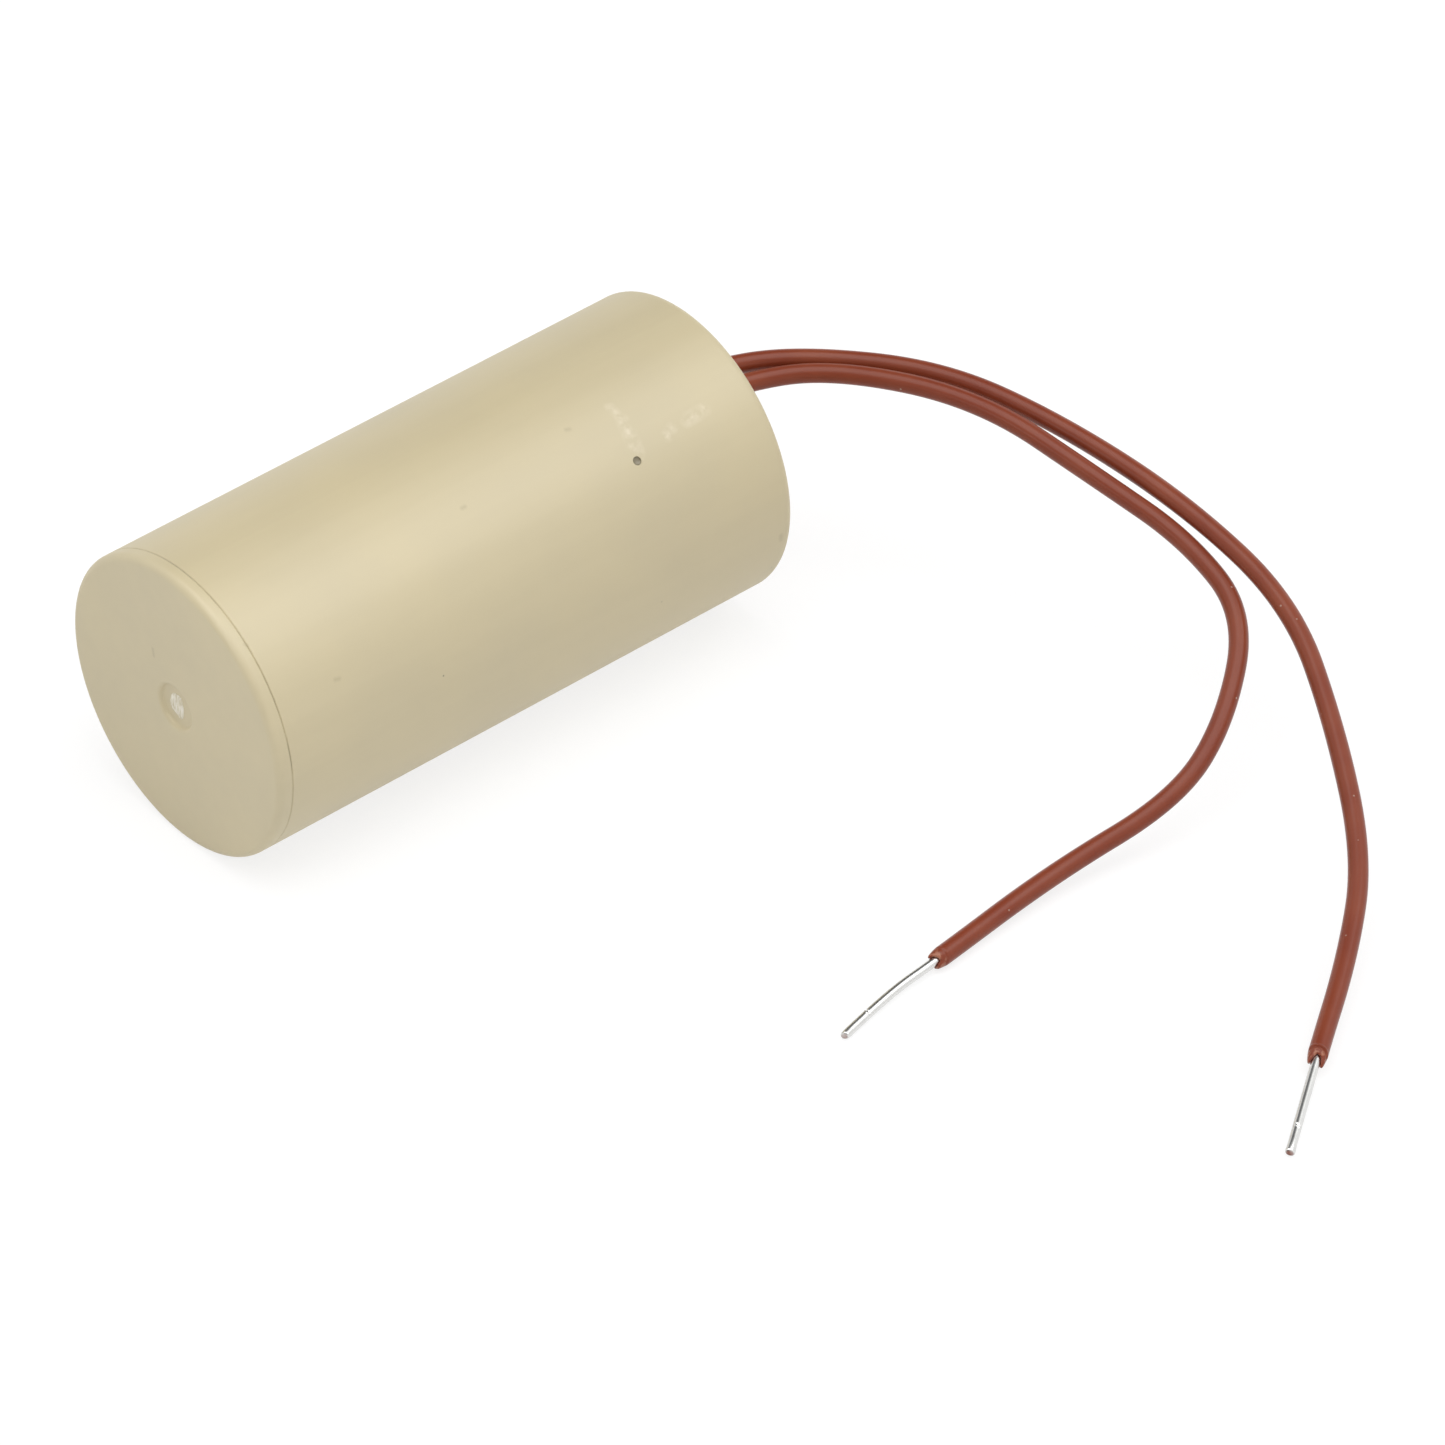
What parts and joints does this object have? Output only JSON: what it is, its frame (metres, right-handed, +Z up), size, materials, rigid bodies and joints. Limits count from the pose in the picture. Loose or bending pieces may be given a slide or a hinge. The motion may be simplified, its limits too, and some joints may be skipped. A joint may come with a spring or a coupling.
{
  "type": "motor start capacitor",
  "caption": "Round plastic-cased film capacitor for starting a motor, closed by a moulded lid at one end, with insulated wire leads stripped at their tips at the other.",
  "frame": {"origin": "on the surface that the can lies on, under the middle of the can", "axes": "+X along the can from the lid to the lead end, +Z up, +Y away from the side that the leads swing to"},
  "size_m": [0.0826, 0.105, 0.028],
  "materials": {
    "case_plastic": "beige, moulded, satin",
    "resin": "olive-grey potting resin",
    "core_plastic": "white, extruded",
    "metallised_film": "grey metallised film, wound tight",
    "wrap_film": "yellow film",
    "sprayed_metal": "sprayed zinc, rough",
    "solder": "bright solder",
    "tinned_wire": "bright tinned copper",
    "lead_sleeve": "brown wire insulation, satin"
  },
  "bodies": {
    "root": {"case": "case_plastic", "end_lid": "case_plastic", "potting_resin": "resin", "winding_core": "core_plastic", "film_winding": "metallised_film", "outer_wrap": "wrap_film", "front_contact": "sprayed_metal", "rear_contact": "sprayed_metal", "front_solder_joint": "solder", "rear_solder_joint": "solder", "lead_a_conductor": "tinned_wire", "lead_b_conductor": "tinned_wire", "lead_a_insulation": "lead_sleeve", "lead_b_insulation": "lead_sleeve"}
  },
  "joints": []
}
